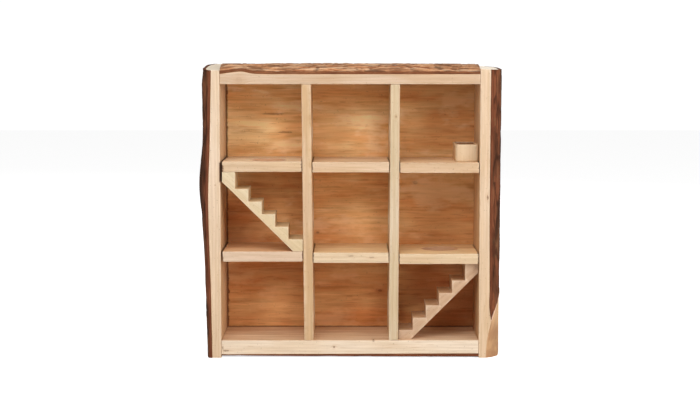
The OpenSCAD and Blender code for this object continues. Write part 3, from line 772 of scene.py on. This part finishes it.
def panelColourAndPaintedLight(tree, place, colour):
    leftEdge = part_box("back_panel")[0][0]
    across, back, up = split(tree, place)
    broad = noiseOf(tree, scaled(tree, place, (0.45, 1.0, 1.0)), 16.0, 3.0, 0.55)
    bands = noiseOf(tree, scaled(tree, place, (0.13, 1.0, 1.0)), 95.0, 4.0, 0.6)
    flame = noiseOf(tree, scaled(tree, place, (0.4, 1.0, 0.9)), 33.0, 4.0, 0.6)
    red = times(tree, ramp(tree, broad, 0.40, 0.60), 0.85)
    colour = mixed(tree, red, colour, mixed(tree, 1.0, colour, (0.90, 0.70, 0.56), "MULTIPLY"))
    dark = times(tree, ramp(tree, bands, 0.50, 0.66), 0.7)
    colour = mixed(tree, dark, colour, mixed(tree, 1.0, colour, (0.80, 0.66, 0.54), "MULTIPLY"))
    pale = times(tree, ramp(tree, flame, 0.52, 0.68), 0.45)
    colour = mixed(tree, pale, colour, (0.93, 0.64, 0.37))
    plain = colour
    for (x, z), wide, high, lightAndShadeTint in panelLightAndShadeSpots:
        away = vectorCalc(tree, "SUBTRACT", place, (x, panelFront, z))
        away = vectorCalc(tree, "LENGTH", vectorCalc(tree, "DIVIDE", away, (wide, 1.0, high)))
        soft = plus(tree, away, times(tree, less(tree, broad, 0.5), 1.2))
        colour = mixed(tree, ramp(tree, soft, 0.4, 1.3, 1.0, 0.0), colour,
                       mixed(tree, 1.0, colour, lightAndShadeTint, "MULTIPLY"))
    # painted light: darker and redder low down, brighter higher up, and darker towards the right, as the
    # light falls
    height = mixed(tree, ramp(tree, up, 0.06, 0.29), (1.0, 0.85, 0.75), (1.20, 1.33, 1.40))
    colour = mixed(tree, 1.0, colour, height, "MULTIPLY")
    side = mixed(tree, ramp(tree, across, -0.02, 0.13), (1.06, 1.07, 1.06), (0.93, 0.90, 0.88))
    colour = mixed(tree, 1.0, colour, side, "MULTIPLY")
    ragged = times(tree, noiseOf(tree, place, 170.0, 3.0), 3 * mm)
    clump = ramp(tree, noiseOf(tree, place, 38.0, 3.0, 0.6), 0.56, 0.68, 0.0, 4 * mm)
    reach = plus(tree, ragged, clump)      # painted shade: the joints at the left slab and at the foot are darkened as shaded gaps
    fromSide = less(tree, less(tree, across, leftEdge + 6 * mm), reach)
    jointShade = ramp(tree, fromSide, -0.5 * mm, 1.4 * mm, 0.8, 0.0)
    foot = less(tree, less(tree, up, 24.6 * mm), times(tree, ragged, 0.4))
    jointShade = calc(tree, "MAXIMUM", jointShade, ramp(tree, foot, 0.3 * mm, 1.6 * mm, 0.7, 0.0))
    colour = mixed(tree, jointShade, colour, (0.10, 0.032, 0.012))
    rear = ramp(tree, back, panelFront + 2 * mm, panelFront + 4 * mm)      # the rear face has none of the painted light or painted shade
    return mixed(tree, rear, colour, plain)


def makeBackPanel():
    panel = {
        "pale": (0.82, 0.52, 0.25), "warm": (0.78, 0.43, 0.185), "late": (0.42, 0.17, 0.06),
        "rubbed": (0.84, 0.52, 0.26), "knot": (0.16, 0.055, 0.022), "lateShare": 0.2, "streakShare": 0.16,
        "dashShare": 0.35, "ringGap": 13 * mm, "wobble": 30 * mm, "roughness": 0.78, "relief": 0.1 * mm,
        "insideTint": (1.0, 1.0, 1.0), "insideLines": 0.0, "knotPush": 7 * mm, "knotShare": 0.7,
    }
    knots = [((x, panelFront, z), (wide * mm, 9 * mm, high * mm)) for x, z, wide, high in (
        (0.093, 0.232, 3.5, 2.6), (-0.0463, 0.1605, 2.4, 1.5), (0.043, 0.077, 2.8, 1.8),
        (-0.109, 0.330, 16, 1.3), (-0.092, 0.304, 11, 1.3))]      # the last two are long lines
    pith = tuple(nodeCentre("back_panel") + Vector((0, 0.16, 0.02)))
    look = dict(paleWood, **panel, grain="x", seed=3.7, pith=pith, finish=panelColourAndPaintedLight, knots=knots)
    rounding = dict(boardEdges, cell=12 * mm, rearIn=0.15 * mm)      # the pins' heads show on its rear
    roundedPiece("back_panel", woodMaterial("panelWood", look), rounding)
    print("back panel made")


# stairs and food bowl

def bowlHollowShade(tree, place, colour):      # painted shade: the inside of the hollow is coloured dark, with darker specks
    low, high = (Vector(corner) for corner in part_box("food_bowl"))
    away = split(tree, vectorCalc(tree, "ABSOLUTE", vectorCalc(
        tree, "SUBTRACT", place, tuple((low + high) / 2))))
    deep = ramp(tree, split(tree, place)[2], high[2] - 0.4 * mm, high[2] - 1.6 * mm)
    for axis in (0, 1):
        half = (high - low)[axis] / 2
        deep = times(tree, deep, ramp(tree, away[axis], half - 3 * mm, half - 2 * mm, 1.0, 0.0))
    hollowSpecks = ramp(tree, noiseOf(tree, place, 420.0, 2.0), 0.58, 0.66)
    hollowShade = mixed(tree, hollowSpecks, (0.30, 0.135, 0.06), (0.09, 0.035, 0.015))
    return mixed(tree, times(tree, deep, 0.9), colour, hollowShade)


def makeStairsAndBowl():
    slope = math.atan2(96, 110)      # the stairs' rise over their run
    tones = {
        "upper_stair": {"pale": (0.66, 0.535, 0.36), "warm": (0.63, 0.49, 0.305), "late": (0.50, 0.33, 0.18)},
        "lower_stair": {"pale": (0.56, 0.39, 0.265), "warm": (0.53, 0.345, 0.22), "late": (0.40, 0.22, 0.12)},
    }
    for node, way in (("upper_stair", -1), ("lower_stair", 1)):
        look = boardLook(node, "x", lateShare=0.08, streakShare=0.1, relief=0.1 * mm, insideLines=0.2,
                         **tones[node])
        look["turn"] = (0.0, -math.pi / 2 + way * slope, 0.0)
        rounding = dict(boardEdges, radius=0.5 * mm)
        roundedPiece(node, woodMaterial(node + "Wood", look), rounding)
    look = boardLook("food_bowl", "z", pale=(0.64, 0.48, 0.315), warm=(0.61, 0.435, 0.275),
                     late=(0.46, 0.27, 0.14), ringGap=2.6 * mm, lateShare=0.1, streakShare=0.06,
                     finish=bowlHollowShade)
    roundedPiece("food_bowl", woodMaterial("bowlWood", look),
                 {"radius": 1.8 * mm, "steps": 4, "cell": 6 * mm, "dent": 0.15 * mm})
    print("stairs and bowl made")


# nails and pins

def joinedShapes(tree, *shapes):
    both = addNode(tree, "GeometryNodeJoinGeometry")
    for shape in shapes:
        tree.links.new(shape.outputs[0], both.inputs[0])
    return both


def makeNailTree():
    tree, given, out = newTree("drivenNails", "GeometryNodeTree", [
        ("Geometry", "NodeSocketGeometry", None), ("Shank Radius", "NodeSocketFloat", 0.9 * mm),
        ("Head Radius", "NodeSocketFloat", 1.9 * mm), ("Head Depth", "NodeSocketFloat", 1.0 * mm),
        ("Lean", "NodeSocketFloat", 0.05),      # how far a nail may lean, in radians
        ("Seed", "NodeSocketInt", 4), ("Material", "NodeSocketMaterial", None),
    ], [("Geometry", "NodeSocketGeometry")])
    down = named(tree, "nailWay", "FLOAT_VECTOR")
    turn = addNode(tree, "FunctionNodeAlignRotationToVector", {"Vector": down}, axis="Z")
    lean = addNode(tree, "FunctionNodeRandomValue", {
        "Min": (-1.0, -1.0, 0.0), "Max": (1.0, 1.0, 6.0), "Seed": given["Seed"]}, data_type="FLOAT_VECTOR")
    turned = addNode(tree, "FunctionNodeRotateRotation", {
        "Rotation": turn.outputs[0], "Rotate By": lengthened(tree, lean.outputs[0], given["Lean"]),
    }, rotation_space="LOCAL")
    half = times(tree, given["Head Depth"], 0.5)
    rim = addNode(tree, "GeometryNodeMeshCylinder", {
        "Vertices": 20, "Radius": given["Head Radius"], "Depth": half})
    rim = addNode(tree, "GeometryNodeTransform", {
        "Geometry": rim.outputs[0], "Translation": joined(tree, 0.0, 0.0, times(tree, half, 1.2))})
    dome = addNode(tree, "GeometryNodeMeshCone", {
        "Vertices": 20, "Side Segments": 2, "Radius Top": given["Head Radius"],
        "Radius Bottom": times(tree, given["Head Radius"], 0.72), "Depth": half})
    head = joinedShapes(tree, rim, dome)
    heads = addNode(tree, "GeometryNodeInstanceOnPoints", {
        "Points": given["Geometry"], "Instance": head.outputs[0], "Rotation": turned.outputs[0]})
    shaft = addNode(tree, "GeometryNodeMeshCylinder", {      # heights here are shares of the nail's length
        "Vertices": 14, "Radius": given["Shank Radius"], "Depth": 0.86})
    shaft = addNode(tree, "GeometryNodeTransform", {
        "Geometry": shaft.outputs[0], "Translation": (0, 0, 0.44)})
    tip = addNode(tree, "GeometryNodeMeshCone", {
        "Vertices": 14, "Radius Top": times(tree, given["Shank Radius"], 0.15),
        "Radius Bottom": given["Shank Radius"], "Depth": 0.12})
    tip = addNode(tree, "GeometryNodeTransform", {"Geometry": tip.outputs[0], "Translation": (0, 0, 0.87)})
    shank = joinedShapes(tree, shaft, tip)
    shanks = addNode(tree, "GeometryNodeInstanceOnPoints", {
        "Points": given["Geometry"], "Instance": shank.outputs[0], "Rotation": turned.outputs[0],
        "Scale": joined(tree, 1.0, 1.0, named(tree, "nailLength"))})
    return finishedTree(tree, joinedShapes(tree, heads, shanks), given, out)


def nailMaterial():
    steel = {"bright": (0.34, 0.32, 0.30), "dull": (0.16, 0.14, 0.12), "rust": (0.20, 0.09, 0.045)}
    material, tree, shader = newMaterial("nailSteel", 0.4, 0.5)
    shader.inputs["Metallic"].default_value = 0.9
    place = objectPlace(tree)
    blotch = noiseOf(tree, place, 500.0, 3.0, 0.6)
    colour = mixed(tree, ramp(tree, blotch, 0.35, 0.65), steel["bright"], steel["dull"])
    rust = ramp(tree, noiseOf(tree, place, 900.0), 0.58, 0.7)
    colour = mixed(tree, times(tree, rust, 0.6), colour, steel["rust"])
    tree.links.new(colour, shader.inputs["Base Color"])
    tree.links.new(ramp(tree, blotch, 0.3, 0.7, 0.3, 0.55), shader.inputs["Roughness"])
    tree.links.new(bumpOf(tree, noiseOf(tree, place, 2500.0), 0.1 * mm), shader.inputs["Normal"])
    return material


def nailsIn(node):
    work = weldedCopy(node)
    left = set(work.verts)
    found = []
    while left:
        stack = [left.pop()]
        island = []
        while stack:
            vertex = stack.pop()
            island.append(vertex.co.copy())
            for edge in vertex.link_edges:
                other = edge.other_vert(vertex)
                if other in left:
                    left.remove(other)
                    stack.append(other)
        points = np.array(island)
        low, high = points.min(0), points.max(0)
        axis = int(np.argmax(high - low))
        centre = (low + high) / 2
        wide = np.linalg.norm(np.delete(points - centre, axis, 1), axis=1)
        headHigh = points[wide > wide.max() * 0.9][:, axis].mean() > centre[axis]
        top, way = centre.copy(), np.zeros(3)
        top[axis] = high[axis] if headHigh else low[axis]
        way[axis] = -1.0 if headHigh else 1.0
        found.append((top, way, float(high[axis] - low[axis])))
    work.free()
    return sorted(found, key=lambda item: tuple(np.round(item[0], 4)))


def makeNails(bark):
    toBark, within = 20 * mm, 30 * mm      # a ray starts this far outside a head and goes this far
    big = {"Shank Radius": 0.9 * mm, "Head Radius": 1.9 * mm, "Head Depth": 1.0 * mm, "Lean": 0.03}
    small = {"Shank Radius": 0.7 * mm, "Head Radius": 1.4 * mm, "Head Depth": 0.8 * mm, "Lean": 0.02}
    sunkIn = {"left_side_nails": "left_side_bark", "right_side_nails": "right_side_bark",
              "top_nails": "top_bark", "bottom_nails": "bottom_bark"}
    tree, material = makeNailTree(), nailMaterial()
    names = [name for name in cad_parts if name.endswith(("_nails", "_pins"))]
    for number, node in enumerate(sorted(names)):
        nails = nailsIn(node)
        tops = np.array([top + way * 0.05 * mm for top, way, length in nails])
        if node in sunkIn:      # a head sits on the flaked bark, wherever that is
            meshes = (bark[sunkIn[node]].data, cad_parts[sunkIn[node].replace("bark", "slab")].data)
            surfaces = [BVHTree.FromPolygons([vertex.co[:] for vertex in mesh.vertices],
                                             [face.vertices[:] for face in mesh.polygons]) for mesh in meshes]
            for index, (top, way, length) in enumerate(nails):
                start = Vector(top - way * toBark)
                hits = [surface.ray_cast(start, Vector(way), within)[0] for surface in surfaces]
                hit = next(hit for hit in hits if hit is not None)
                tops[index] = np.array(hit) + way * 0.3 * mm      # hammered in
        mesh = bpy.data.meshes.new(node)
        mesh.from_pydata(tops.tolist(), [], [])
        storeOnPoints(mesh, {"nailWay": [way for top, way, length in nails],
                             "nailLength": [length for top, way, length in nails]})
        piece = newObject(titled(node), mesh)
        own = small if node.endswith("pins") else big
        grown(piece, tree, dict(own, Seed=number + 3, Material=material))
        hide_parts(node)
        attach(piece, "cage")
    print("nails made")


# floor, lights and camera

def makeStage():
    material, tree, shader = newMaterial("paleFloor", 0.9, 0.05)
    place = objectPlace(tree)
    tree.links.new(mixed(tree, noiseOf(tree, place, 3.0), (0.90, 0.90, 0.90), (0.92, 0.92, 0.92)),
                   shader.inputs["Base Color"])
    shader.inputs["Emission Color"].default_value = (1, 1, 1, 1)      # seen by the camera, lights nothing
    lift = times(tree, addNode(tree, "ShaderNodeLightPath").outputs["Is Camera Ray"], 0.75)
    tree.links.new(lift, shader.inputs["Emission Strength"])
    mesh = bpy.data.meshes.new("floor")
    size = 6.0
    corners = [(-size, -size, 0), (size, -size, 0), (size, size, 0), (-size, size, 0)]
    mesh.from_pydata(corners, [], [(0, 1, 2, 3)])
    mesh.materials.append(material)
    floor = newObject("floor", mesh)


def makeLights():
    lights = {      # where each stands, its width, its power
        "keyLight": ((-0.3, -1.25, 1.35), 1.3, 17),
        "leftLight": ((-1.1, -1.7, 1.0), 1.3, 6),
        "rightLight": ((1.5, -1.5, 0.6), 1.1, 22),
        "topLight": ((-0.2, -0.3, 2.0), 1.4, 5),
        "rearLight": ((0.7, 2.3, 1.3), 1.2, 16),
    }
    for name, (place, width, power) in lights.items():
        data = bpy.data.lights.new(name, "AREA")
        data.size = width
        data.energy = power
        data.color = (1.0, 0.985, 0.96) if name == "rightLight" else (1.0, 0.99, 0.97)
        light = newObject(name, data)
        light.location = place
        light.rotation_euler = (Vector((0, 0, 0.2)) - light.location).to_track_quat("-Z", "Y").to_euler()
    world = bpy.data.worlds.new("studio")
    world.use_nodes = True
    tree = world.node_tree
    seen = addNode(tree, "ShaderNodeLightPath").outputs["Is Camera Ray"]
    strength = addNode(tree, "ShaderNodeMapRange", {      # fill light, and white for the camera
        "Value": seen, "To Min": 0.22, "To Max": 1.05}).outputs[0]
    tree.links.new(strength, tree.nodes["Background"].inputs["Strength"])
    tree.nodes["Background"].inputs["Color"].default_value = (1, 1, 1, 1)
    bpy.context.scene.world = world


def makeCamera():
    view = {"lens": 87.43, "away": 2.3008, "height": 0.4315, "down": 5.646}      # mm, m, m, degrees
    camera = newObject("camera", bpy.data.cameras.new("camera"))
    camera.data.sensor_width = 36.0
    camera.data.lens = view["lens"]
    camera.location = (0.0, cadBox[0][1] - view["away"], view["height"])
    camera.rotation_euler = (math.radians(90 - view["down"]), 0.0, 0.0)
    bpy.context.scene.camera = camera


makeCamera()
makeSlabs()
bark = makeBark()
makeBoards()
makeBackPanel()
makeStairsAndBowl()
makeNails(bark)
makeStage()
makeLights()
bpy.context.scene.view_settings.view_transform = "Standard"
